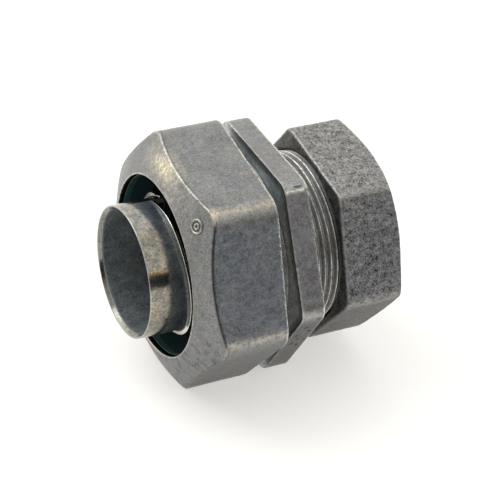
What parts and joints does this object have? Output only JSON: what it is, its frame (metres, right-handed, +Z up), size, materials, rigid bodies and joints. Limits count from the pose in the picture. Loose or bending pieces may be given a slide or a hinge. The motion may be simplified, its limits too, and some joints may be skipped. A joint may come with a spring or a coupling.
{
  "type": "conduit compression coupling",
  "caption": "Zinc compression coupling that joins liquidtight flexible conduit to thin-wall steel tube, with hexagonal nuts, sealing ring, ferrule, gasket and split clamping ring.",
  "frame": {"origin": "on the common axis, at the stop face at the bottom of the tube socket", "axes": "+X along the axis and out of the tube end, -X out of the flexible conduit's end, +Z up, square to two flats of the body's hexagonal flange"},
  "size_m": [0.0479, 0.0488, 0.0462],
  "materials": {
    "cast_body": "satin die-cast zinc",
    "cast_conduit_nut": "satin die-cast zinc",
    "cast_tube_nut": "tumbled die-cast zinc",
    "plated_steel": "bright zinc plate",
    "ring_steel": "zinc plate",
    "green_plastic": "satin",
    "white_plastic": "satin"
  },
  "bodies": {
    "fitting_body": {"body": "cast_body"},
    "conduit_seal": {"sealing_ring": "green_plastic"},
    "conduit_nut_part": {"conduit_nut": "cast_conduit_nut"},
    "ferrule_part": {"ferrule": "plated_steel"},
    "tube_rings": {"clamping_ring": "ring_steel", "gasket": "white_plastic"},
    "tube_nut_part": {"tube_nut": "cast_tube_nut"}
  },
  "joints": [
    {"name": "conduit_seal_slide", "type": "slide", "parent": "fitting_body", "child": "conduit_seal", "axis": [1, 0, 0], "range_m": [-0.00477, 0.00255]},
    {"name": "conduit_nut_turn", "type": "hinge", "parent": "conduit_seal", "child": "conduit_nut_part", "pos_m": [-0.0136, 0, 0], "axis": [1, 0, 0], "range_deg": [-1350, 720]},
    {"name": "tube_rings_slide", "type": "slide", "parent": "fitting_body", "child": "tube_rings", "axis": [1, 0, 0], "range_m": [-0.00128, 0.00382]},
    {"name": "tube_nut_turn", "type": "hinge", "parent": "tube_rings", "child": "tube_nut_part", "pos_m": [0.0143, 0, 0], "axis": [1, 0, 0], "range_deg": [-360, 1080]},
    {"name": "ferrule_slide", "type": "slide", "parent": "fitting_body", "child": "ferrule_part", "axis": [1, 0, 0], "range_m": [-0.02, 0.0142]}
  ],
  "couplings": [
    {"joint": "conduit_seal_slide", "follows": "conduit_nut_turn", "m_per_rad": 0.00020213},
    {"joint": "tube_rings_slide", "follows": "tube_nut_turn", "m_per_rad": 0.00020213}
  ]
}
